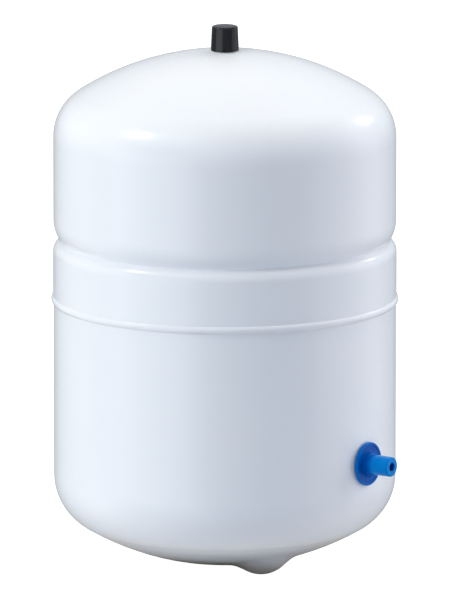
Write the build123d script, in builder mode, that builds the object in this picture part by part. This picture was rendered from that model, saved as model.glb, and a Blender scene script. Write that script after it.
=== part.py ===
from build123d import *
import math
import os

# Reverse osmosis storage tank: two drawn steel shells lapped and seam welded, an inner clench
# ring that holds a liner and a diaphragm in a rolled groove, a threaded water port with a
# push-on cap on top, and an air charging valve with a flanged screw cap low on the side.
# Millimetres, +Z up. The three pressed feet stand on z = 0 and the vessel's axis is the Z axis.
# The side that faces the viewer is -Y.

os.makedirs("parts", exist_ok=True)

# ---------------------------------------------------------------- driving dimensions
sheet = 1.2  # steel sheet
r_top_wall = 101.45  # outer radius above the groove
r_skirt = 101.70  # outer radius between the groove and the seam
r_low_wall = 101.40  # outer radius below the seam

z_bottom_apex = 0.9  # the bottom dome clears the floor by this much
z_top_apex = 307.3
crown_top = 162.2  # crown radius of the top dome
knuckle_top = 29.9
crown_low = 165.1  # crown radius of the bottom dome
knuckle_low = 34.0

z_groove = 194.8  # middle of the rolled groove
groove_depth = 3.7
groove_r_upper = 19.5  # long upper shoulder
groove_r_lower = 7.0  # short lower shoulder
groove_r_valley = 1.5

z_skirt_edge = 160.3  # lower edge of the upper shell
z_rim = 178.0  # upper edge of the lower shell, tucked inside the upper one
r_rim = 100.45
joggle_r = 3.0
z_joggle_top = 160.1
seam_r = 102.8
z_seam = 159.2
z_seam_top = 161.3

foot_angles = (31.0, 138.0, 244.0)  # from the viewer's side towards +X
foot_pitch_r = 41.5  # where each foot touches the floor
foot_tip_r = 19.2
foot_flat_sink = 0.26  # how much of the rounded tip is pressed flat
foot_flank = 33.0  # degrees from the flank to the foot's own base
foot_blend = 15.5

valve_angle = 55.5
z_valve = 70.7
valve_hole_r = 4.1

liner_gap = 0.15
liner_wall = 1.0
membrane_wall = 1.8
ring_wall = 1.5
contact_gap = 0.05
z_liner_edge = 181.0
z_membrane_edge = 182.0
z_ring_low = 181.5
z_ring_high = 207.5
z_membrane_apex = 301.2

port_shank_r = 7.28
port_hole_r = 7.35
port_thread_r = 6.72  # mean crest radius of a quarter inch tapered pipe thread
port_bore_r = 3.4
z_port_flange = (301.6, 303.2)
port_flange_r = 11.5
z_collar = (307.18, 307.7)
collar_r = 8.05
z_shoulder = 310.0
z_thread_end = 318.8
z_port_tip = 319.5

z_cap_rim = 307.8
z_cap_top = 322.7
z_cap_ceiling = 321.2  # clears the port's tip, so the cap bears only on the shoulder
cap_rim_r = 8.3
cap_top_r = 7.7
cap_bore_r = 7.33

# distances along the valve's axis, counted from the vessel's axis
valve_tip = 112.5
valve_thread_r = 3.85
valve_cap_back = 101.5
valve_cap_face = 103.5
valve_cap_end = 119.4
valve_cap_bore_r = 3.90
valve_cap_floor = 113.55
flange_r = 12.95

# ---------------------------------------------------------------- derived frame of the valve
va = math.radians(valve_angle)
valve_dir = Vector(math.sin(va), -math.cos(va), 0)
valve_side = Vector(math.cos(va), math.sin(va), 0)
valve_origin = Vector(0, 0, z_valve)
valve_axis = Axis(valve_origin, valve_dir)
# sketch plane through the valve's axis: x runs outwards along it, y is the radius around it
valve_section = Plane(
    origin=valve_origin, x_dir=valve_dir, z_dir=valve_dir.cross(Vector(0, 0, 1))
)


def depth(s):
    """Distance from the vessel's axis of a point s millimetres inside the valve stem's tip."""
    return valve_tip - s


def polar(c, r, a):
    """Point at angle a, in radians from the upward direction towards the outside."""
    return (c[0] + r * math.sin(a), c[1] + r * math.cos(a))


# ---------------------------------------------------------------- geometry of the top dome
ct = (0.0, z_top_apex - crown_top)
beta_top = math.asin((r_top_wall - knuckle_top) / (crown_top - knuckle_top))
kt = (r_top_wall - knuckle_top, ct[1] + (crown_top - knuckle_top) * math.cos(beta_top))

# ---------------------------------------------------------------- geometry of the groove
d_up = groove_depth
d_lo = groove_depth + r_skirt - r_top_wall
s_up = groove_r_upper + groove_r_valley
s_lo = groove_r_lower + groove_r_valley
z_gu = z_groove + math.sqrt(2 * s_up * d_up - d_up**2)
z_gl = z_groove - math.sqrt(2 * s_lo * d_lo - d_lo**2)
c_gu = (r_top_wall - groove_r_upper, z_gu)
c_gv = (r_top_wall - groove_depth + groove_r_valley, z_groove)
c_gl = (r_skirt - groove_r_lower, z_gl)
dir_u = ((c_gv[0] - c_gu[0]) / s_up, (c_gv[1] - c_gu[1]) / s_up)
dir_l = ((c_gv[0] - c_gl[0]) / s_lo, (c_gv[1] - c_gl[1]) / s_lo)


def mid_on(c, r, p, q):
    """Point of the circle halfway between two of its points."""
    mx, mz = (p[0] + q[0]) / 2 - c[0], (p[1] + q[1]) / 2 - c[1]
    n = math.hypot(mx, mz)
    return (c[0] + r * mx / n, c[1] + r * mz / n)


def groove_run(inset, z_from, z_to):
    """Wall of the upper shell from z_from down to z_to, moved inwards by inset, as arcs and lines."""
    ru, rv, rl = groove_r_upper - inset, groove_r_valley + inset, groove_r_lower - inset
    a = (r_top_wall - inset, z_from)
    b = (r_top_wall - inset, z_gu)
    tu = (c_gu[0] + dir_u[0] * ru, c_gu[1] + dir_u[1] * ru)
    tl = (c_gl[0] + dir_l[0] * rl, c_gl[1] + dir_l[1] * rl)
    e = (r_skirt - inset, z_gl)
    f = (r_skirt - inset, z_to)
    return [
        ("line", a, b),
        ("arc", b, mid_on(c_gu, ru, b, tu), tu),
        ("arc", tu, (c_gv[0] - rv, c_gv[1]), tl),
        ("arc", tl, mid_on(c_gl, rl, tl, e), e),
        ("line", e, f),
    ]


def dome_run(inset, r_start):
    """Top dome from radius r_start out to the wall, moved inwards by inset."""
    rc, rk = crown_top - inset, knuckle_top - inset
    a0 = math.asin(r_start / rc)
    p = polar(ct, rc, a0)
    q = polar(ct, rc, beta_top)
    w = (r_top_wall - inset, kt[1])
    return [
        ("arc", p, polar(ct, rc, (a0 + beta_top) / 2), q),
        ("arc", q, polar(kt, rk, (beta_top + math.pi / 2) / 2), w),
    ]


def backwards(run):
    """The same run of arcs and lines, from its end to its start."""
    out = []
    for piece in reversed(run):
        out.append((piece[0],) + tuple(reversed(piece[1:])))
    return out


def draw(run):
    """Adds a run of arcs and lines to the current outline."""
    for piece in run:
        if piece[0] == "line":
            Line(piece[1], piece[2])
        else:
            ThreePointArc(piece[1], piece[2], piece[3])


# ---------------------------------------------------------------- upper shell
outer = dome_run(0.0, port_hole_r) + groove_run(0.0, kt[1], z_skirt_edge)
inner = dome_run(sheet, port_hole_r) + groove_run(sheet, kt[1], z_skirt_edge)
with BuildPart() as upper_shell:
    with BuildSketch(Plane.XZ):
        with BuildLine():
            draw(outer)
            Line(outer[-1][-1], inner[-1][-1])
            draw(backwards(inner))
            Line(inner[0][1], outer[0][1])
        make_face()
    revolve(axis=Axis.Z)
upper_shell.part.label = "upper_shell"
export_step(upper_shell.part, "parts/upper_shell.step")

# ---------------------------------------------------------------- lower shell with three pressed feet
cb = (0.0, z_bottom_apex + crown_low)
beta_low = math.asin((r_low_wall - knuckle_low) / (crown_low - knuckle_low))
kb = (r_low_wall - knuckle_low, cb[1] - (crown_low - knuckle_low) * math.cos(beta_low))
step = r_low_wall - r_rim
z_joggle_low = z_joggle_top - math.sqrt(4 * joggle_r * step - step**2)
c_j0 = (r_low_wall - joggle_r, z_joggle_low)
c_j1 = (r_rim + joggle_r, z_joggle_top)


def joggle_run(inset):
    """Inward step of the lower shell's wall, from bottom to top, moved inwards by inset."""
    r0, r1 = joggle_r - inset, joggle_r + inset
    n = ((c_j1[0] - c_j0[0]) / (2 * joggle_r), (c_j1[1] - c_j0[1]) / (2 * joggle_r))
    a = (r_low_wall - inset, z_joggle_low)
    t = (c_j0[0] + n[0] * r0, c_j0[1] + n[1] * r0)
    b = (r_rim - inset, z_joggle_top)
    return [
        ("arc", a, mid_on(c_j0, r0, a, t), t),
        ("arc", t, mid_on(c_j1, r1, t, b), b),
    ]


def low_run(inset):
    """Lower shell from the apex up to its rim, moved inwards by inset."""
    rc, rk = crown_low - inset, knuckle_low - inset
    apex = (0.0, cb[1] - rc)
    q = (rc * math.sin(beta_low), cb[1] - rc * math.cos(beta_low))
    m = (rc * math.sin(beta_low / 2), cb[1] - rc * math.cos(beta_low / 2))
    w = (r_low_wall - inset, kb[1])
    half = (beta_low + math.pi / 2) / 2
    mk = (kb[0] + rk * math.sin(half), kb[1] - rk * math.cos(half))
    jog = joggle_run(inset)
    return (
        [("arc", apex, m, q), ("arc", q, mk, w), ("line", w, jog[0][1])]
        + jog
        + [("line", jog[-1][-1], (r_rim - inset, z_rim))]
    )


# each foot is a round bump about a line through the crown's centre
foot_drop = cb[1] - foot_tip_r + foot_flat_sink
foot_tilt = math.atan2(foot_pitch_r, foot_drop)
foot_reach = math.hypot(foot_pitch_r, foot_drop)
flank = math.radians(foot_flank)


def foot_plane(angle):
    """Sketch plane of one foot: x is the radius around the foot's own line, y runs down along it."""
    a = math.radians(angle)
    out = Vector(math.sin(a), -math.cos(a), 0)
    side = Vector(math.cos(a), math.sin(a), 0)
    down = out * math.sin(foot_tilt) + Vector(0, 0, -1) * math.cos(foot_tilt)
    return Plane(origin=Vector(0, 0, cb[1]), x_dir=side, z_dir=side.cross(down)), down


# centre of the concave blend between the flank and the dome, in the foot's own plane
flank_n = (math.sin(flank), math.cos(flank))
blend_d = foot_tip_r + foot_blend + foot_reach * flank_n[1]
blend_r = crown_low + foot_blend
blend_h = math.sqrt(blend_r**2 - blend_d**2)
c_blend = (
    flank_n[0] * blend_d - flank_n[1] * blend_h,
    flank_n[1] * blend_d + flank_n[0] * blend_h,
)
foot_edge = math.atan2(c_blend[0], c_blend[1])  # half angle of the foot seen from the crown's centre


def foot_run(inset):
    """Surface of a foot from its tip out to the dome, moved inwards by inset."""
    r, rb, rs = foot_tip_r - inset, foot_blend + inset, crown_low - inset
    tip = (0.0, foot_reach + r)
    tan = (r * flank_n[0], foot_reach + r * flank_n[1])
    mid = (r * math.sin(flank / 2), foot_reach + r * math.cos(flank / 2))
    low = (c_blend[0] - rb * flank_n[0], c_blend[1] - rb * flank_n[1])
    out = (rs * math.sin(foot_edge), rs * math.cos(foot_edge))
    return [
        ("arc", tip, mid, tan),
        ("line", tan, low),
        ("arc", low, mid_on(c_blend, rb, low, out), out),
    ]


with BuildPart() as lower_shell:
    outer = low_run(0.0)
    inner = low_run(sheet)
    with BuildSketch(Plane.XZ):
        with BuildLine():
            draw(outer)
            Line(outer[-1][-1], inner[-1][-1])
            draw(backwards(inner))
            Line(inner[0][1], outer[0][1])
        make_face()
    revolve(axis=Axis.Z)
    for angle in foot_angles:
        plane, down = foot_plane(angle)
        own_line = Axis(Vector(0, 0, cb[1]), down)
        # round patch of the dome that the bump replaces
        near, far = crown_low - 20, crown_low + 20
        with BuildSketch(plane):
            with BuildLine():
                Polyline(
                    (0, near),
                    (near * math.tan(foot_edge), near),
                    (far * math.tan(foot_edge), far),
                    (0, far),
                    (0, near),
                )
            make_face()
        revolve(axis=own_line, mode=Mode.SUBTRACT)
        bump_out = foot_run(0.0)
        bump_in = foot_run(sheet)
        with BuildSketch(plane):
            with BuildLine():
                draw(bump_out)
                Line(bump_out[-1][-1], bump_in[-1][-1])
                draw(backwards(bump_in))
                Line(bump_in[0][1], bump_out[0][1])
            make_face()
        revolve(axis=own_line)
    # the tips are pressed flat on the floor plane
    with BuildSketch(Plane.XY):
        Rectangle(300, 300)
    extrude(amount=-5, mode=Mode.SUBTRACT)
    # hole of the air valve
    with BuildSketch(Plane(origin=valve_origin, x_dir=valve_side, z_dir=valve_dir)):
        Circle(valve_hole_r)
    extrude(amount=130, mode=Mode.SUBTRACT)
lower_shell.part.label = "lower_shell"
export_step(lower_shell.part, "parts/lower_shell.step")

# ---------------------------------------------------------------- lap weld around the seam
with BuildPart() as seam_weld:
    jog = joggle_run(0.0)
    with BuildSketch(Plane.XZ):
        with BuildLine():
            draw(jog)
            Line(jog[-1][-1], (r_rim, z_skirt_edge))
            Line((r_rim, z_skirt_edge), (r_skirt, z_skirt_edge))
            Line((r_skirt, z_skirt_edge), (r_skirt, z_seam_top))
            ThreePointArc((r_skirt, z_seam_top), (seam_r, z_seam), jog[0][1])
        make_face()
    revolve(axis=Axis.Z)
seam_weld.part.label = "seam_weld"
export_step(seam_weld.part, "parts/seam_weld.step")

# ---------------------------------------------------------------- liner of the water side
in_a = sheet + liner_gap
in_b = in_a + liner_wall
outer = dome_run(in_a, port_hole_r) + groove_run(in_a, kt[1], z_liner_edge)
inner = dome_run(in_b, port_hole_r) + groove_run(in_b, kt[1], z_liner_edge)
with BuildPart() as liner:
    with BuildSketch(Plane.XZ):
        with BuildLine():
            draw(outer)
            Line(outer[-1][-1], inner[-1][-1])
            draw(backwards(inner))
            Line(inner[0][1], outer[0][1])
        make_face()
    revolve(axis=Axis.Z)
liner.part.label = "liner"
export_step(liner.part, "parts/liner.step")

# ---------------------------------------------------------------- diaphragm, pressed up by the air charge
in_c = in_b + contact_gap
in_d = in_c + membrane_wall


def membrane_dome(inset):
    """Flatter crown that clears the port's flange, blended into the same knuckle."""
    rk = knuckle_top - inset
    apex = z_membrane_apex - (inset - in_c)
    # crown centre on the axis, with the knuckle's circle touching it from inside
    rise = apex - rk - kt[1]
    reach = (kt[0] ** 2 + rise**2) / (2 * rise)
    c = (0.0, apex - rk - reach)
    rc = reach + rk
    a = math.atan2(kt[0], kt[1] - c[1])
    q = polar(c, rc, a)
    w = (r_top_wall - inset, kt[1])
    return [
        ("arc", (0.0, apex), polar(c, rc, a / 2), q),
        ("arc", q, polar(kt, rk, (a + math.pi / 2) / 2), w),
    ]


outer = membrane_dome(in_c) + groove_run(in_c, kt[1], z_membrane_edge)
inner = membrane_dome(in_d) + groove_run(in_d, kt[1], z_membrane_edge)
with BuildPart() as diaphragm:
    with BuildSketch(Plane.XZ):
        with BuildLine():
            draw(outer)
            Line(outer[-1][-1], inner[-1][-1])
            draw(backwards(inner))
            Line(inner[0][1], outer[0][1])
        make_face()
    revolve(axis=Axis.Z)
diaphragm.part.label = "diaphragm"
export_step(diaphragm.part, "parts/diaphragm.step")

# ---------------------------------------------------------------- clench ring in the rolled groove
in_e = in_d + contact_gap
in_f = in_e + ring_wall
outer = groove_run(in_e, z_ring_high, z_ring_low)
inner = groove_run(in_f, z_ring_high, z_ring_low)
with BuildPart() as clench_ring:
    with BuildSketch(Plane.XZ):
        with BuildLine():
            draw(outer)
            Line(outer[-1][-1], inner[-1][-1])
            draw(backwards(inner))
            Line(inner[0][1], outer[0][1])
        make_face()
    revolve(axis=Axis.Z)
clench_ring.part.label = "clench_ring"
export_step(clench_ring.part, "parts/clench_ring.step")

# ---------------------------------------------------------------- water port
with BuildPart() as water_port:
    with BuildSketch(Plane.XZ):
        with BuildLine():
            Polyline(
                (port_bore_r, z_port_flange[0]),
                (port_flange_r - 0.3, z_port_flange[0]),
                (port_flange_r, z_port_flange[0] + 0.3),
                (port_flange_r, z_port_flange[1]),
                (port_shank_r, z_port_flange[1]),
                (port_shank_r, z_shoulder),
                (port_thread_r, z_shoulder),
                (port_thread_r, z_thread_end),
                (port_thread_r - 0.7, z_port_tip),
                (port_bore_r + 0.3, z_port_tip),
                (port_bore_r, z_port_tip - 0.3),
                (port_bore_r, z_port_flange[0]),
            )
        make_face()
    revolve(axis=Axis.Z)
water_port.part.label = "water_port"
export_step(water_port.part, "parts/water_port.step")

# ---------------------------------------------------------------- port seal between flange and liner
seal_ring_r = 9.2
seal_top = ct[1] + math.sqrt((crown_top - in_b) ** 2 - seal_ring_r**2)
seal_r = (seal_top - z_port_flange[1]) / 2 - 0.02
with BuildPart() as port_seal:
    with BuildSketch(
        Plane(origin=(seal_ring_r, 0, z_port_flange[1] + seal_r + 0.01), z_dir=(0, -1, 0))
    ):
        Circle(seal_r)
    revolve(axis=Axis.Z)
port_seal.part.label = "port_seal"
export_step(port_seal.part, "parts/port_seal.step")

# ---------------------------------------------------------------- collar that locks the port on the dome
with BuildPart() as port_collar:
    with BuildSketch(Plane.XZ):
        with BuildLine():
            Polyline(
                (port_shank_r + 0.01, z_collar[0]),
                (collar_r, z_collar[0]),
                (collar_r, z_collar[1] - 0.2),
                (collar_r - 0.2, z_collar[1]),
                (port_shank_r + 0.01, z_collar[1]),
                (port_shank_r + 0.01, z_collar[0]),
            )
        make_face()
    revolve(axis=Axis.Z)
port_collar.part.label = "port_collar"
export_step(port_collar.part, "parts/port_collar.step")

# ---------------------------------------------------------------- push-on cap of the port
edge_r = 1.0
cap_rise = 0.25  # the top is very slightly domed
cap_shoulder_z = z_cap_top - cap_rise - edge_r
cap_crown_r = cap_top_r - edge_r + 0.05
crown_sphere = (cap_crown_r**2 + cap_rise**2) / (2 * cap_rise)
crown_half = math.asin(cap_crown_r / crown_sphere)
with BuildPart() as port_cap:
    with BuildSketch(Plane.XZ):
        with BuildLine():
            Line((cap_bore_r + 0.25, z_cap_rim), (cap_rim_r - 0.2, z_cap_rim))
            Line((cap_rim_r - 0.2, z_cap_rim), (cap_rim_r, z_cap_rim + 0.2))
            Line((cap_rim_r, z_cap_rim + 0.2), (cap_top_r, cap_shoulder_z))
            ThreePointArc(
                (cap_top_r, cap_shoulder_z),
                (
                    cap_top_r - edge_r + edge_r * math.sin(math.radians(47)),
                    cap_shoulder_z + edge_r * math.cos(math.radians(47)),
                ),
                (cap_crown_r, cap_shoulder_z + edge_r),
            )
            ThreePointArc(
                (cap_crown_r, cap_shoulder_z + edge_r),
                polar((0, z_cap_top - crown_sphere), crown_sphere, crown_half / 2),
                (0, z_cap_top),
            )
            Line((0, z_cap_top), (0, z_cap_ceiling))
            Line((0, z_cap_ceiling), (cap_bore_r - 0.5, z_cap_ceiling))
            Line((cap_bore_r - 0.5, z_cap_ceiling), (cap_bore_r, z_cap_ceiling - 0.5))
            Line((cap_bore_r, z_cap_ceiling - 0.5), (cap_bore_r, z_cap_rim + 0.3))
            Line((cap_bore_r, z_cap_rim + 0.3), (cap_bore_r + 0.25, z_cap_rim))
        make_face()
    revolve(axis=Axis.Z)
port_cap.part.label = "port_cap"
export_step(port_cap.part, "parts/port_cap.step")

# ---------------------------------------------------------------- air valve stem
with BuildPart() as valve_stem:
    with BuildSketch(valve_section):
        with BuildLine():
            Polyline(
                (88.0, 2.05),
                (depth(8.2), 2.05),
                (depth(7.0), 2.60),
                (depth(0.3), 2.60),
                (valve_tip, 2.90),
                (valve_tip, valve_thread_r - 0.45),
                (valve_tip - 0.45, valve_thread_r),
                (102.0, valve_thread_r),
                (102.0, valve_hole_r - 0.04),
                (98.0, valve_hole_r - 0.04),
                (98.0, 8.0),
                (96.4, 8.0),
                (96.4, 3.6),
                (88.0, 3.6),
                (88.0, 2.05),
            )
        make_face()
    revolve(axis=valve_axis)
valve_stem.part.label = "valve_stem"
export_step(valve_stem.part, "parts/valve_stem.step")

# ---------------------------------------------------------------- gasket under the stem's flange
with BuildPart() as valve_gasket:
    with BuildSketch(
        Plane(origin=valve_origin + valve_dir * 98.01, x_dir=valve_side, z_dir=valve_dir)
    ):
        Circle(7.8)
        Circle(valve_hole_r, mode=Mode.SUBTRACT)
    extrude(amount=3.0)
    with BuildSketch(Plane.XY.offset(z_valve - 20)):
        Circle(r_low_wall - sheet - 0.02)
    extrude(amount=40, mode=Mode.INTERSECT)
valve_gasket.part.label = "valve_gasket"
export_step(valve_gasket.part, "parts/valve_gasket.step")

# ---------------------------------------------------------------- valve core: threaded plug with two flats
with BuildPart() as core_plug:
    with BuildSketch(valve_section):
        with BuildLine():
            Polyline(
                (depth(5.0), 0.80),
                (depth(1.0), 0.80),
                (depth(1.0), 2.35),
                (depth(1.2), 2.55),
                (depth(5.0), 2.55),
                (depth(5.0), 0.80),
            )
        make_face()
    revolve(axis=valve_axis)
    # flats for the core tool
    with BuildSketch(
        Plane(origin=valve_origin + valve_dir * depth(2.6), x_dir=valve_side, z_dir=valve_dir)
    ):
        with Locations((0, 2.6), (0, -2.6)):
            Rectangle(6, 2.2)
    extrude(amount=3, mode=Mode.SUBTRACT)
core_plug.part.label = "core_plug"
export_step(core_plug.part, "parts/core_plug.step")

# ---------------------------------------------------------------- valve core: barrel with a tapered seat
with BuildPart() as core_barrel:
    with BuildSketch(valve_section):
        with BuildLine():
            Polyline(
                (depth(5.02), 1.30),
                (depth(5.02), 2.35),
                (depth(6.8), 2.35),
                (depth(8.2), 1.80),
                (depth(13.2), 1.80),
                (depth(13.2), 0.70),
                (depth(12.5), 0.70),
                (depth(12.5), 1.30),
                (depth(5.02), 1.30),
            )
        make_face()
    revolve(axis=valve_axis)
core_barrel.part.label = "core_barrel"
export_step(core_barrel.part, "parts/core_barrel.step")

# ---------------------------------------------------------------- valve core: seat gasket
with BuildPart() as core_gasket:
    with BuildSketch(valve_section):
        with BuildLine():
            Polyline(
                (depth(6.9), 2.33),
                (depth(6.9), 2.57),
                (depth(7.02), 2.57),
                (depth(7.98), 2.13),
                (depth(7.98), 1.90),
                (depth(6.9), 2.33),
            )
        make_face()
    revolve(axis=valve_axis)
core_gasket.part.label = "core_gasket"
export_step(core_gasket.part, "parts/core_gasket.step")

# ---------------------------------------------------------------- valve core: pin
with BuildPart() as core_pin:
    with BuildSketch(valve_section):
        with BuildLine():
            Polyline(
                (depth(0.4), 0.0),
                (depth(0.4), 0.50),
                (depth(0.6), 0.70),
                (depth(1.1), 0.70),
                (depth(1.4), 0.45),
                (depth(5.9), 0.45),
                (depth(5.9), 1.15),
                (depth(6.35), 1.15),
                (depth(6.35), 0.45),
                (depth(14.42), 0.45),
                (depth(14.42), 1.30),
                (depth(14.9), 1.30),
                (depth(14.9), 0.0),
                (depth(0.4), 0.0),
            )
        make_face()
    revolve(axis=valve_axis)
core_pin.part.label = "core_pin"
export_step(core_pin.part, "parts/core_pin.step")

# ---------------------------------------------------------------- valve core: seal at the pin's inner end
with BuildPart() as pin_seal:
    with BuildSketch(valve_section):
        with BuildLine():
            Polyline(
                (depth(13.25), 0.46),
                (depth(13.25), 1.60),
                (depth(13.40), 1.75),
                (depth(14.40), 1.75),
                (depth(14.40), 0.46),
                (depth(13.25), 0.46),
            )
        make_face()
    revolve(axis=valve_axis)
pin_seal.part.label = "pin_seal"
export_step(pin_seal.part, "parts/pin_seal.step")

# ---------------------------------------------------------------- valve core: spring around the pin
spring_wire = 0.13
spring_r = 0.92
spring_from = valve_origin + valve_dir * depth(12.34)
with BuildPart() as core_spring:
    with BuildLine():
        coil = Helix(
            pitch=0.82,
            height=5.8,
            radius=spring_r,
            center=spring_from,
            direction=valve_dir,
        )
    with BuildSketch(Plane(origin=coil @ 0, z_dir=coil % 0)):
        Circle(spring_wire)
    sweep(path=coil, is_frenet=True)
core_spring.part.label = "core_spring"
export_step(core_spring.part, "parts/core_spring.step")

# ---------------------------------------------------------------- flanged screw cap of the air valve
with BuildPart() as valve_cap:
    hub = valve_cap_face + 1.8
    with BuildSketch(valve_section):
        with BuildLine():
            Line((valve_cap_back, valve_cap_bore_r + 0.4), (valve_cap_back, flange_r - 0.4))
            Line((valve_cap_back, flange_r - 0.4), (valve_cap_back + 0.4, flange_r))
            Line((valve_cap_back + 0.4, flange_r), (valve_cap_face - 0.6, flange_r))
            ThreePointArc(
                (valve_cap_face - 0.6, flange_r),
                (valve_cap_face - 0.176, flange_r - 0.176),
                (valve_cap_face, flange_r - 0.6),
            )
            Line((valve_cap_face, flange_r - 0.6), (valve_cap_face, 11.5))
            Line((valve_cap_face, 11.5), (valve_cap_face - 0.3, 11.0))
            Line((valve_cap_face - 0.3, 11.0), (valve_cap_face - 0.3, 8.3))
            ThreePointArc(
                (valve_cap_face - 0.3, 8.3),
                (valve_cap_face - 0.036, 7.664),
                (valve_cap_face + 0.6, 7.4),
            )
            Line((valve_cap_face + 0.6, 7.4), (hub - 0.4, 7.4))
            ThreePointArc((hub - 0.4, 7.4), (hub - 0.117, 7.283), (hub, 7.0))
            Line((hub, 7.0), (hub, 6.9))
            ThreePointArc((hub, 6.9), (hub + 0.234, 6.334), (hub + 0.8, 6.1))
            Line((hub + 0.8, 6.1), (valve_cap_end - 0.7, 5.85))
            ThreePointArc(
                (valve_cap_end - 0.7, 5.85),
                (valve_cap_end - 0.205, 5.645),
                (valve_cap_end, 5.15),
            )
            Line((valve_cap_end, 5.15), (valve_cap_end, 2.6))
            Line((valve_cap_end, 2.6), (valve_cap_end - 0.2, 2.4))
            Line((valve_cap_end - 0.2, 2.4), (valve_cap_end - 4.0, 2.4))
            Line((valve_cap_end - 4.0, 2.4), (valve_cap_end - 4.0, 0))
            Line((valve_cap_end - 4.0, 0), (valve_cap_floor, 0))
            Line((valve_cap_floor, 0), (valve_cap_floor, valve_cap_bore_r))
            Line((valve_cap_floor, valve_cap_bore_r), (valve_cap_back + 0.9, valve_cap_bore_r))
            Line(
                (valve_cap_back + 0.9, valve_cap_bore_r),
                (valve_cap_back, valve_cap_bore_r + 0.4),
            )
        make_face()
    revolve(axis=valve_axis)
valve_cap.part.label = "valve_cap"
export_step(valve_cap.part, "parts/valve_cap.step")

# ---------------------------------------------------------------- sealing washer inside the screw cap
with BuildPart() as cap_seal:
    with BuildSketch(
        Plane(
            origin=valve_origin + valve_dir * (valve_tip + 0.05),
            x_dir=valve_side,
            z_dir=valve_dir,
        )
    ):
        Circle(3.7)
    extrude(amount=valve_cap_floor - 0.05 - valve_tip - 0.05)
cap_seal.part.label = "cap_seal"
export_step(cap_seal.part, "parts/cap_seal.step")
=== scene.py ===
import bpy
import math
from mathutils import Matrix, Vector


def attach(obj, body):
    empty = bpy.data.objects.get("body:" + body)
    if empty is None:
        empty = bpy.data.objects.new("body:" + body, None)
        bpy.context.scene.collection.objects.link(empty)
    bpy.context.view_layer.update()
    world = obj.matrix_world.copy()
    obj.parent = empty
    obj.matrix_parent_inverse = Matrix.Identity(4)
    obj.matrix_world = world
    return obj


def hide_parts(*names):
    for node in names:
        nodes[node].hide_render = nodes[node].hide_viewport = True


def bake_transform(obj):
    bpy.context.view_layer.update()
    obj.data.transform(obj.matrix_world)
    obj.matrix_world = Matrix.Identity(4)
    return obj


# A domed steel storage tank: the shells keep their construction meshes and get glossy enamel, the
# two threaded pieces under the caps are built here with their real thread forms.
# Metres, +Z up, the viewer's side is -Y.

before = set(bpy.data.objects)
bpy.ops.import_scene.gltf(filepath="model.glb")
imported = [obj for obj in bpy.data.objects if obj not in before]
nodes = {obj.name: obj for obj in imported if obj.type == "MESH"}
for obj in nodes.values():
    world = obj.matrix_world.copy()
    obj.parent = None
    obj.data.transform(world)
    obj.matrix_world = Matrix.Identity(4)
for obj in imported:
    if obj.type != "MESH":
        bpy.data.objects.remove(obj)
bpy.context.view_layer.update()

# ------------------------------------------------------------------ the air valve's own line
VALVE_TURN = math.radians(55.5)
VALVE_DIR = Vector((math.sin(VALVE_TURN), -math.cos(VALVE_TURN), 0.0))
VALVE_SIDE = Vector((math.cos(VALVE_TURN), math.sin(VALVE_TURN), 0.0))
VALVE_FROM = Vector((0.0, 0.0, 0.0707))


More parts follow.
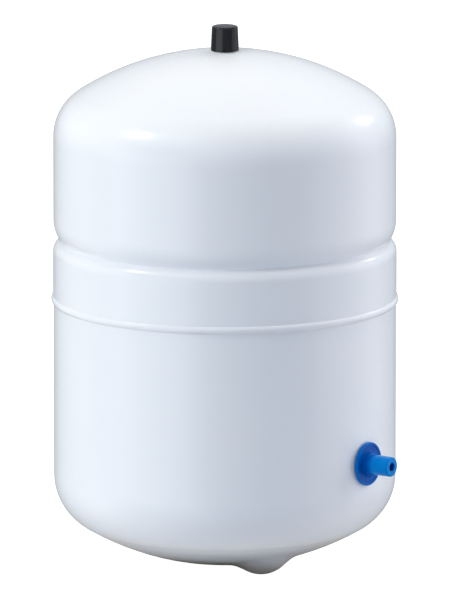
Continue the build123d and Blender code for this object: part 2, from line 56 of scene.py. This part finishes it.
# ------------------------------------------------------------------ material kit
class Kit:
    """A material under construction, with short names for the nodes used here."""

    def __init__(self, name):
        self.material = bpy.data.materials.new(name)
        self.material.use_nodes = True
        self.tree = self.material.node_tree
        self.tree.nodes.clear()
        self.out = self.add("ShaderNodeOutputMaterial")
        self.shader = self.add("ShaderNodeBsdfPrincipled")
        self.tree.links.new(self.shader.outputs["BSDF"], self.out.inputs["Surface"])
        self.place = self.add("ShaderNodeTexCoord").outputs["Object"]

    def add(self, kind, **values):
        n = self.tree.nodes.new(kind)
        for key, value in values.items():
            setattr(n, key, value)
        return n

    def join(self, socket, value):
        if isinstance(value, bpy.types.NodeSocket):
            self.tree.links.new(value, socket)
        else:
            socket.default_value = value

    def set(self, **values):
        """Puts a constant or a socket on the shader's inputs, underscores standing for spaces."""
        for key, value in values.items():
            self.join(self.shader.inputs[key.replace("_", " ")], value)

    def noise(self, scale, detail=2.0, roughness=0.5, at=None, distortion=0.0):
        n = self.add("ShaderNodeTexNoise")
        self.join(n.inputs["Vector"], at or self.place)
        n.inputs["Scale"].default_value = scale
        n.inputs["Detail"].default_value = detail
        n.inputs["Roughness"].default_value = roughness
        n.inputs["Distortion"].default_value = distortion
        return n.outputs["Fac"]

    def cells(self, scale, at=None, feature="F1", output="Distance"):
        n = self.add("ShaderNodeTexVoronoi", feature=feature)
        self.join(n.inputs["Vector"], at or self.place)
        n.inputs["Scale"].default_value = scale
        return n.outputs[output]

    def span(self, value, low, high, to_low, to_high, kind="LINEAR"):
        n = self.add("ShaderNodeMapRange", interpolation_type=kind)
        self.join(n.inputs["Value"], value)
        for key, x in (("From Min", low), ("From Max", high), ("To Min", to_low), ("To Max", to_high)):
            self.join(n.inputs[key], x)
        return n.outputs["Result"]

    def blend(self, share, a, b):
        n = self.add("ShaderNodeMix", data_type="RGBA")
        self.join(n.inputs[0], share)
        for socket, x in ((n.inputs[6], a), (n.inputs[7], b)):
            self.join(socket, (*x, 1.0) if isinstance(x, tuple) and len(x) == 3 else x)
        return n.outputs[2]

    def math(self, operation, a, b=0.0, clamp=False):
        n = self.add("ShaderNodeMath", operation=operation, use_clamp=clamp)
        self.join(n.inputs[0], a)
        self.join(n.inputs[1], b)
        return n.outputs[0]

    def vector(self, operation, a, b):
        n = self.add("ShaderNodeVectorMath", operation=operation)
        self.join(n.inputs[0], a)
        self.join(n.inputs[1], b)
        return n.outputs["Value"] if operation == "DOT_PRODUCT" else n.outputs["Vector"]

    def length(self, a):
        n = self.add("ShaderNodeVectorMath", operation="LENGTH")
        self.join(n.inputs[0], a)
        return n.outputs["Value"]

    def combine(self, x, y, z):
        n = self.add("ShaderNodeCombineXYZ")
        for socket, value in zip(n.inputs, (x, y, z)):
            self.join(socket, value)
        return n.outputs[0]

    def bump(self, height, distance, strength=1.0, after=None):
        n = self.add("ShaderNodeBump")
        n.inputs["Strength"].default_value = strength
        n.inputs["Distance"].default_value = distance
        self.join(n.inputs["Height"], height)
        if after is not None:
            self.join(n.inputs["Normal"], after)
        return n.outputs["Normal"]

    def round_place(self, origin, along):
        """(distance along a line, distance from it) of the shading point, in metres."""
        off = self.vector("SUBTRACT", self.place, tuple(origin))
        far = self.vector("DOT_PRODUCT", off, tuple(along))
        straight = self.add("ShaderNodeVectorMath", operation="SCALE")
        self.join(straight.inputs[0], tuple(along))
        self.join(straight.inputs["Scale"], far)
        across = self.vector("SUBTRACT", off, straight.outputs["Vector"])
        return far, self.length(across)


def enamel():
    """Baked white enamel over drawn steel: nearly even, with faint clouds, orange peel and a
    long soft waviness in the sheet."""
    k = Kit("white_enamel")
    clouds = k.noise(16.0, 3.0, 0.55)
    fine = k.noise(900.0, 2.0, 0.6)
    colour = k.blend(k.span(clouds, 0.3, 0.7, 0.0, 1.0), (0.845, 0.876, 0.918), (0.868, 0.893, 0.928))
    dust = k.span(k.noise(2300.0, 1.0, 0.4), 0.72, 0.80, 0.0, 0.35)
    colour = k.blend(dust, colour, (0.78, 0.80, 0.83))
    peel = k.noise(430.0, 2.0, 0.45)
    wave = k.noise(26.0, 1.0, 0.4)
    normal = k.bump(wave, 9.0e-5, 0.6)
    normal = k.bump(peel, 6.0e-6, 0.7, normal)
    k.set(
        Base_Color=colour,
        Roughness=k.span(fine, 0.25, 0.75, 0.21, 0.28),
        Normal=normal,
        IOR=1.5,
        Coat_Weight=0.3,
        Coat_Roughness=0.12,
        Coat_IOR=1.5,
    )
    return k.material


def moulded(name, deep, light, origin, along, rough, grain, scuffs=0.10, gloss=0.5, tint=None, painted_light_bands=None):
    """Injection-moulded plastic: fine spark-eroded grain, faint rings from the turned mould and
    scuffs in the gloss. Given the last argument as (lit colour, from, to, rim from, rim to), it is painted
    lighter outside its bore from that distance along its line on, and at its rim: painted light, with the rest left
    darker as painted shade."""
    k = Kit(name)
    far, out = k.round_place(origin, along)
    rings = k.noise(1.0, 2.0, 0.5, at=k.combine(k.math("MULTIPLY", far, 2600.0), k.math("MULTIPLY", out, 2600.0), 0.0))
    clouds = k.noise(210.0, 2.0, 0.5)
    scuff = k.noise(520.0, 4.0, 0.65, distortion=1.5)
    fine = k.noise(5200.0, 2.0, 0.6)
    normal = k.bump(fine, grain, 0.6)
    normal = k.bump(rings, 2.0e-6, 0.5, normal)
    roughness = k.math("ADD", k.span(scuff, 0.35, 0.7, rough, rough + scuffs), k.span(fine, 0.3, 0.7, -0.015, 0.015))
    colour = k.blend(k.span(clouds, 0.3, 0.7, 0.0, 1.0), deep, light)
    # painted light: past the given distance outside the bore, and at the rim, the colour turns lighter; the rest stays
    # darker as painted shade
    if painted_light_bands is not None:
        clear, start, full, inner, outer = painted_light_bands
        share = k.math("MULTIPLY", k.span(far, start, full, 0.0, 1.0), k.span(out, 0.0022, 0.0034, 0.0, 1.0))
        share = k.math("MAXIMUM", share, k.span(out, inner, outer, 0.0, 0.45))
        colour = k.blend(share, colour, clear)
    k.set(
        Base_Color=colour,
        Roughness=roughness,
        Normal=normal,
        IOR=1.49,
        Specular_IOR_Level=gloss,
    )
    if tint is not None:
        k.set(Specular_Tint=(*tint, 1.0))
    return k.material


def turned(name, deep, light, origin, along, rough, tarnish=None):
    """Metal turned on a lathe: cutting lines around its line, darker where it has been handled."""
    k = Kit(name)
    far, out = k.round_place(origin, along)
    lines = k.noise(
        1.0, 3.0, 0.7, at=k.combine(k.math("MULTIPLY", far, 9000.0), k.math("MULTIPLY", out, 9000.0), 0.0)
    )
    clouds = k.noise(320.0, 3.0, 0.6)
    colour = k.blend(k.span(lines, 0.25, 0.75, 0.0, 1.0), deep, light)
    if tarnish:
        colour = k.blend(k.span(clouds, 0.5, 0.75, 0.0, 0.55), colour, tarnish)
    k.set(
        Base_Color=colour,
        Metallic=1.0,
        Roughness=k.math("ADD", k.span(clouds, 0.3, 0.7, rough, rough + 0.12), k.span(lines, 0.3, 0.7, -0.04, 0.04)),
        Normal=k.bump(lines, 4.0e-6, 0.8),
    )
    return k.material


def zinc():
    """Zinc-plated rolled steel with a faint spangle and rolling lines around the ring."""
    k = Kit("zinc_plate")
    spangle = k.cells(190.0, output="Color")
    bright = k.vector("DOT_PRODUCT", spangle, (0.4, 0.3, 0.3))
    far, out = k.round_place((0, 0, 0), (0, 0, 1))
    lines = k.noise(1.0, 3.0, 0.6, at=k.combine(k.math("MULTIPLY", far, 2500.0), k.math("MULTIPLY", out, 2500.0), 0.0))
    k.set(
        Base_Color=k.blend(bright, (0.50, 0.51, 0.50), (0.70, 0.70, 0.67)),
        Metallic=1.0,
        Roughness=k.span(bright, 0.0, 1.0, 0.26, 0.42),
        Normal=k.bump(lines, 1.0e-5, 0.5),
    )
    return k.material


def rubber(name, shade, sheen_rough, scale=700.0):
    """Moulded rubber: nearly black, mottled with bloom, with a fine matt grain."""
    k = Kit(name)
    bloom = k.noise(60.0, 4.0, 0.6)
    grain = k.noise(scale * 3, 3.0, 0.6)
    colour = k.blend(k.span(bloom, 0.45, 0.75, 0.0, 0.6), shade, tuple(min(1.0, 2.4 * x + 0.01) for x in shade))
    k.set(
        Base_Color=colour,
        Roughness=k.span(grain, 0.3, 0.7, sheen_rough - 0.06, sheen_rough + 0.08),
        Normal=k.bump(grain, 1.2e-5, 0.8),
        Specular_IOR_Level=0.35,
    )
    return k.material


def milky(name, deep, light, rough):
    """Blow-moulded liner plastic: milky, with flow lines and slight thickness clouds."""
    k = Kit(name)
    flow = k.noise(34.0, 3.0, 0.55, distortion=2.0)
    fine = k.noise(1500.0, 2.0, 0.5)
    k.set(
        Base_Color=k.blend(k.span(flow, 0.3, 0.7, 0.0, 1.0), deep, light),
        Roughness=k.span(fine, 0.3, 0.7, rough - 0.05, rough + 0.06),
        Normal=k.bump(flow, 1.0e-4, 0.4, k.bump(fine, 6.0e-6, 0.6)),
        Subsurface_Weight=0.12,
        Subsurface_Radius=(1.0, 1.0, 0.9),
        Subsurface_Scale=0.0015,
    )
    return k.material


UP = (0.0, 0.0, 1.0)
ON_AXIS = (0.0, 0.0, 0.0)
paint = enamel()
black = moulded("black_cap", (0.015, 0.0155, 0.0170), (0.021, 0.0215, 0.0235), ON_AXIS, UP, 0.12, 1.5e-6, 0.05)
# painted light and shade on the blue cap: its barrel and the flange's rim lighter, the flange face and the barrel's
# root darker
blue = moulded(
    "blue_cap", (0.0, 0.080, 0.400), (0.0, 0.098, 0.450), VALVE_FROM, VALVE_DIR, 0.14, 2.0e-6, 0.05,
    gloss=0.34, tint=(0.05, 0.5, 1.0), painted_light_bands=((0.0, 0.214, 0.660), 0.1052, 0.1090, 0.0112, 0.0124),
)
brass = turned("turned_brass", (0.60, 0.42, 0.19), (0.80, 0.60, 0.31), VALVE_FROM, VALVE_DIR, 0.22, (0.38, 0.25, 0.11))
steel = turned("turned_stainless", (0.50, 0.50, 0.49), (0.70, 0.69, 0.66), ON_AXIS, UP, 0.20)
wire = turned("spring_wire", (0.38, 0.38, 0.38), (0.58, 0.57, 0.55), VALVE_FROM, VALVE_DIR, 0.30)
seal = rubber("seal_rubber_mat", (0.016, 0.016, 0.017), 0.55)
membrane = rubber("butyl_membrane", (0.022, 0.022, 0.023), 0.68, 320.0)
liner = milky("liner_milky", (0.72, 0.74, 0.70), (0.82, 0.83, 0.80), 0.40)
seat = milky("seat_ring", (0.52, 0.05, 0.04), (0.66, 0.09, 0.06), 0.38)
plate = zinc()

FINISH = {
    "upper_shell": paint,
    "lower_shell": paint,
    "seam_weld": paint,
    "port_collar": paint,
    "clench_ring": plate,
    "liner": liner,
    "diaphragm": membrane,
    "water_port": steel,
    "port_seal": seal,
    "port_cap": black,
    "valve_stem": brass,
    "valve_gasket": seal,
    "core_plug": brass,
    "core_barrel": brass,
    "core_gasket": seat,
    "core_pin": brass,
    "pin_seal": seal,
    "core_spring": wire,
    "valve_cap": blue,
    "cap_seal": seal,
}
for name, material in FINISH.items():
    data = nodes[name].data
    for i in range(max(1, len(data.materials))):
        if i < len(data.materials):
            data.materials[i] = material
        else:
            data.materials.append(material)


# ------------------------------------------------------------------ turned pieces with real threads
def lathe(name, outline, place, turn_steps, thread=None):
    """A closed solid of revolution. outline is a loop of (along, radius) points in metres, and
    place turns (along, radius, angle) into a point. With thread = (first, last, root depth, pitch,
    crest share, run-out), the outline's points flagged as thread follow a helix."""
    verts, faces = [], []
    count = len(outline)
    for s in range(turn_steps):
        a = 2 * math.pi * s / turn_steps
        for z, r, cut in outline:
            if cut and thread:
                first, last, deep, pitch, crest, fade = thread
                phase = ((z - first) / pitch - s / turn_steps) % 1.0
                # a 60 degree form with flat crests and roots
                ramp = (1.0 - 2 * crest) / 2
                if phase < crest:
                    share = 0.0
                elif phase < crest + ramp:
                    share = (phase - crest) / ramp
                elif phase < 2 * crest + ramp:
                    share = 1.0
                else:
                    share = 1.0 - (phase - 2 * crest - ramp) / ramp
                edge = min(1.0, max(0.0, (z - first) / fade), max(0.0, (last - z) / fade))
                r = r - deep * share * edge
            verts.append(place(z, r, a))
    for s in range(turn_steps):
        n = (s + 1) % turn_steps
        for i in range(count):
            j = (i + 1) % count
            faces.append((s * count + i, s * count + j, n * count + j, n * count + i))
    mesh = bpy.data.meshes.new(name)
    mesh.from_pydata([tuple(v) for v in verts], [], faces)
    mesh.validate()
    piece = bpy.data.objects.new(name, mesh)
    bpy.context.scene.collection.objects.link(piece)
    # faces point outwards whichever way the outline runs
    import bmesh

    bm = bmesh.new()
    bm.from_mesh(mesh)
    bmesh.ops.recalc_face_normals(bm, faces=bm.faces)
    bm.to_mesh(mesh)
    bm.free()
    mesh.shade_smooth()
    mesh.set_sharp_from_angle(angle=math.radians(34))
    return piece


def upright(z, r, a):
    return Vector((r * math.cos(a), r * math.sin(a), z))


def along_valve(d, r, a):
    return VALVE_FROM + VALVE_DIR * d + VALVE_SIDE * (r * math.cos(a)) + Vector((0, 0, 1)) * (r * math.sin(a))


def thread_points(first, last, r_first, r_last, step):
    """Points of a thread's envelope at a fixed step, flagged so that the lathe cuts them."""
    n = max(2, round((last - first) / step))
    return [
        (first + (last - first) * i / n, r_first + (r_last - r_first) * i / n, True)
        for i in range(n + 1)
    ]


mm = 0.001
# water port: shank, wrench-free shoulder and a tapered quarter inch thread, 18 to the inch
port_outline = (
    [
        (301.6 * mm, 3.4 * mm, False),
        (301.6 * mm, 11.2 * mm, False),
        (301.9 * mm, 11.5 * mm, False),
        (303.2 * mm, 11.5 * mm, False),
        (303.2 * mm, 7.28 * mm, False),
        (309.75 * mm, 7.28 * mm, False),
        (310.0 * mm, 7.03 * mm, False),
    ]
    + thread_points(310.05 * mm, 318.8 * mm, 6.86 * mm, 6.59 * mm, 0.088 * mm)
    + [
        (319.5 * mm, 5.85 * mm, False),
        (319.5 * mm, 3.7 * mm, False),
        (319.2 * mm, 3.4 * mm, False),
    ]
)
port = lathe("water_port_threaded", port_outline, upright, 144, (310.05 * mm, 319.6 * mm, 1.0 * mm, 25.4 / 18 * mm, 0.12, 0.9 * mm))
port.data.materials.append(steel)
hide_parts("water_port")
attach(port, "tank")

# valve stem: 7.7 mm, 32 threads to the inch, with the core's seat bored inside
stem_outline = (
    [
        (88.0 * mm, 2.05 * mm, False),
        (104.3 * mm, 2.05 * mm, False),
        (105.5 * mm, 2.60 * mm, False),
        (112.2 * mm, 2.60 * mm, False),
        (112.5 * mm, 2.90 * mm, False),
        (112.5 * mm, 3.40 * mm, False),
    ]
    + thread_points(102.25 * mm, 112.05 * mm, 3.85 * mm, 3.85 * mm, 0.0497 * mm)[::-1]
    + [
        (102.0 * mm, 3.85 * mm, False),
        (102.0 * mm, 4.06 * mm, False),
        (98.0 * mm, 4.06 * mm, False),
        (98.0 * mm, 8.0 * mm, False),
        (96.4 * mm, 8.0 * mm, False),
        (96.4 * mm, 3.6 * mm, False),
        (88.0 * mm, 3.6 * mm, False),
    ]
)
stem = lathe("valve_stem_threaded", stem_outline, along_valve, 96, (102.25 * mm, 113.0 * mm, 0.42 * mm, 25.4 / 32 * mm, 0.12, 0.6 * mm))
stem.data.materials.append(brass)
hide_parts("valve_stem")
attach(stem, "tank")


def coil(name, first, last, radius, gauge, turns):
    """Round wire wound about the valve's axis, with its two end turns drawn together."""
    steps, ring = int(turns * 28), 10
    close = 2.15 * gauge
    knots = ((0.0, first), (1.0, first + close), (turns - 1.0, last - close), (turns, last))
    verts, faces = [], []
    for i in range(steps + 1):
        t = turns * i / steps
        for (t0, d0), (t1, d1) in zip(knots, knots[1:]):
            if t <= t1:
                break
        d = d0 + (d1 - d0) * (t - t0) / (t1 - t0)
        for j in range(ring):
            b = j / ring * math.tau
            verts.append(along_valve(d + gauge * math.sin(b), radius + gauge * math.cos(b), t * math.tau))
    for i in range(steps):
        for j in range(ring):
            k = (j + 1) % ring
            faces.append((i * ring + j, (i + 1) * ring + j, (i + 1) * ring + k, i * ring + k))
    faces.append(tuple(range(ring)))
    faces.append(tuple(steps * ring + j for j in range(ring - 1, -1, -1)))
    mesh = bpy.data.meshes.new(name)
    mesh.from_pydata([tuple(v) for v in verts], [], faces)
    mesh.validate()
    mesh.polygons.foreach_set("use_smooth", [len(f.vertices) == 4 for f in mesh.polygons])
    made = bpy.data.objects.new(name, mesh)
    bpy.context.scene.collection.objects.link(made)
    return made


# the core's spring: its inner end stands on the barrel's floor, its outer end goes in with the pin
spring = coil("core_spring_coil", 100.16 * mm, 105.96 * mm, 0.92 * mm, 0.13 * mm, 7.07)
spring.data.materials.append(wire)
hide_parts("core_spring")
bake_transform(spring)


# ------------------------------------------------------------------ studio
def floor():
    mesh = bpy.data.meshes.new("floor")
    r = 14.0
    mesh.from_pydata([(-r, -r, 0), (r, -r, 0), (r, r, 0), (-r, r, 0)], [], [(0, 1, 2, 3)])
    o = bpy.data.objects.new("floor", mesh)
    bpy.context.scene.collection.objects.link(o)
    m = bpy.data.materials.new("floor_pale")
    m.use_nodes = True
    nt = m.node_tree
    nt.nodes.clear()
    out = nt.nodes.new("ShaderNodeOutputMaterial")
    add = nt.nodes.new("ShaderNodeAddShader")
    matt = nt.nodes.new("ShaderNodeBsdfDiffuse")
    matt.inputs["Color"].default_value = (0.45, 0.45, 0.45, 1)
    glow = nt.nodes.new("ShaderNodeEmission")
    glow.inputs["Color"].default_value = (1, 1, 1, 1)
    glow.inputs["Strength"].default_value = 1.0
    nt.links.new(matt.outputs[0], add.inputs[0])
    nt.links.new(glow.outputs[0], add.inputs[1])
    nt.links.new(add.outputs[0], out.inputs["Surface"])
    mesh.materials.append(m)
    # seen by the camera only, so that the pale floor doesn't light the tank from below
    o.visible_diffuse = False
    o.visible_glossy = False
    o.visible_transmission = False
    o.visible_shadow = False
    return o


floor()

# a card under the tank keeps the floor's light off its underside, as its own shade would
def card():
    mesh = bpy.data.meshes.new("card")
    rim = [(0.080 * math.cos(math.radians(3.75 * i)), 0.080 * math.sin(math.radians(3.75 * i)), -0.0015) for i in range(96)]
    mesh.from_pydata(rim, [], [tuple(range(96))])
    o = bpy.data.objects.new("card", mesh)
    bpy.context.scene.collection.objects.link(o)
    m = bpy.data.materials.new("card_grey")
    m.use_nodes = True
    nt = m.node_tree
    nt.nodes.clear()
    out = nt.nodes.new("ShaderNodeOutputMaterial")
    matt = nt.nodes.new("ShaderNodeBsdfDiffuse")
    matt.inputs["Color"].default_value = (0.42, 0.37, 0.30, 1)
    nt.links.new(matt.outputs[0], out.inputs["Surface"])
    mesh.materials.append(m)
    o.visible_camera = False
    return o


card()

# soft lights: name, azimuth from the viewer's side towards +X, elevation, width, height, power,
# colour, and whether they show in reflections, in matt light or in both
LIGHTS = [
    ("left_back", -120, 14, 0.6, 1.5, 5.8, (0.99, 1.00, 0.98), "matt"),
    ("left_wall", -75, 14, 0.6, 1.5, 6.8, (1.00, 0.98, 0.89), "matt"),
    ("right_wall", 105, 14, 0.6, 1.5, 17.1, (0.93, 0.96, 1.00), "matt"),
    ("right_back", 130, 14, 0.6, 1.5, 5.0, (0.95, 0.99, 1.00), "matt"),
    ("front_high", -45, 48, 1.1, 1, 12.3, (0.94, 0.97, 1.00), "matt"),
    ("back_high", 130, 48, 1.1, 1, 5.7, (1.00, 0.99, 0.92), "matt"),
    ("top", 0, 88, 1.5, 1.5, 12.3, (1.00, 0.97, 0.93), "matt"),
    ("under_left", -100, -28, 1.1, 0.8, 11.6, (0.99, 0.99, 1.00), "matt"),
    ("under_front", -30, -28, 1.1, 0.8, 9.1, (0.79, 0.89, 1.00), "matt"),
    ("under_right", 40, -28, 1.1, 0.8, 4.5, (0.66, 0.73, 1.00), "matt"),
    ("under_side", 100, -28, 1.1, 0.8, 6.5, (1.00, 0.94, 0.87), "matt"),
    ("under_back", 165, -28, 1.1, 0.8, 3.7, (0.92, 0.95, 1.00), "matt"),
    ("under", 0, -85, 1.2, 1.2, 6.9, (1.00, 0.94, 0.83), "matt"),
    ("key", -73, 43, 0.3, 0.3, 5.4, (1.00, 0.93, 0.83), "gloss"),
    ("rim", 127, 28, 0.3, 0.3, 2.0, (1.00, 0.90, 0.78), "gloss"),
    ("top_shine", 0, 88, 1.5, 1.5, 4.8, (0.98, 1.00, 1.00), "gloss"),
    ("left_box", -50, -5, 2.1, 1, 6.4, (0.94, 0.97, 1.00), "gloss"),
    ("right_box", 96, -5, 2.3, 1, 3.2, (1.00, 1.00, 1.00), "gloss"),
]
AIM = Vector((0.0, 0.0, 0.16))
for name, azimuth, elevation, width, height, power, colour, kind in LIGHTS:
    a, e = math.radians(azimuth), math.radians(elevation)
    way = Vector((math.sin(a) * math.cos(e), -math.cos(a) * math.cos(e), math.sin(e)))
    data = bpy.data.lights.new(name, "AREA")
    data.shape = "RECTANGLE"
    data.size = width
    data.size_y = height
    data.energy = power
    data.color = colour
    lamp = bpy.data.objects.new(name, data)
    lamp.location = AIM + way * 1.9
    lamp.rotation_mode = "QUATERNION"
    lamp.rotation_quaternion = way.to_track_quat("Z", "Y")
    lamp.visible_camera = False
    lamp.visible_glossy = kind != "matt"
    lamp.visible_diffuse = kind != "gloss"
    bpy.context.scene.collection.objects.link(lamp)

# the room around: height of the direction, from straight down to straight up, and its colour
SKY = [
    (-1, (0.008, 0.000, 0.000)),
    (-0.65, (0.277, 0.278, 0.275)),
    (-0.35, (0.200, 0.220, 0.250)),
    (-0.1, (0.100, 0.110, 0.130)),
    (0.15, (0.388, 0.416, 0.476)),
    (0.5, (0.306, 0.320, 0.347)),
    (1, (0.464, 0.458, 0.445)),
]
world = bpy.data.worlds.new("studio")
world.use_nodes = True
nt = world.node_tree
nt.nodes.clear()
w_out = nt.nodes.new("ShaderNodeOutputWorld")
w_back = nt.nodes.new("ShaderNodeBackground")
w_back.inputs["Strength"].default_value = 1.0
w_place = nt.nodes.new("ShaderNodeTexCoord")
w_split = nt.nodes.new("ShaderNodeSeparateXYZ")
w_half = nt.nodes.new("ShaderNodeMapRange")
w_half.inputs["From Min"].default_value = -1.0
w_half.inputs["From Max"].default_value = 1.0
w_ramp = nt.nodes.new("ShaderNodeValToRGB")
w_ramp.color_ramp.interpolation = "LINEAR"
stops = w_ramp.color_ramp.elements
for i, (height, colour) in enumerate(SKY):
    spot = 0.5 + 0.5 * height
    stop = stops[0] if i == 0 else stops[-1] if i == len(SKY) - 1 else stops.new(spot)
    stop.position = spot
    stop.color = (*colour, 1.0)
nt.links.new(w_place.outputs["Generated"], w_split.inputs[0])
nt.links.new(w_split.outputs["Z"], w_half.inputs["Value"])
nt.links.new(w_half.outputs["Result"], w_ramp.inputs["Fac"])
nt.links.new(w_ramp.outputs["Color"], w_back.inputs["Color"])
nt.links.new(w_back.outputs[0], w_out.inputs["Surface"])
bpy.context.scene.world = world

# the colours are shown as they are, without a film curve
bpy.context.scene.view_settings.view_transform = "Standard"
bpy.context.scene.view_settings.look = "None"

# ------------------------------------------------------------------ camera
ELEVATION = math.radians(11.06)
FAR = 9.0
SEEN = 0.3551  # metres at the tank's axis over the picture's long side
cam_data = bpy.data.cameras.new("camera")
cam_data.type = "PERSP"
cam_data.sensor_fit = "AUTO"
cam_data.sensor_width = 36.0
cam_data.lens = 36.0 * FAR / SEEN
cam_data.clip_start = 0.5
cam_data.clip_end = 80.0
cam = bpy.data.objects.new("camera", cam_data)
back = Vector((0.0, -math.cos(ELEVATION), math.sin(ELEVATION)))
look_at = Vector((0.0001, 0.0, 0.1577))
cam.location = look_at + back * FAR
cam.rotation_mode = "QUATERNION"
cam.rotation_quaternion = back.to_track_quat("Z", "Y")
bpy.context.scene.collection.objects.link(cam)
bpy.context.scene.camera = cam
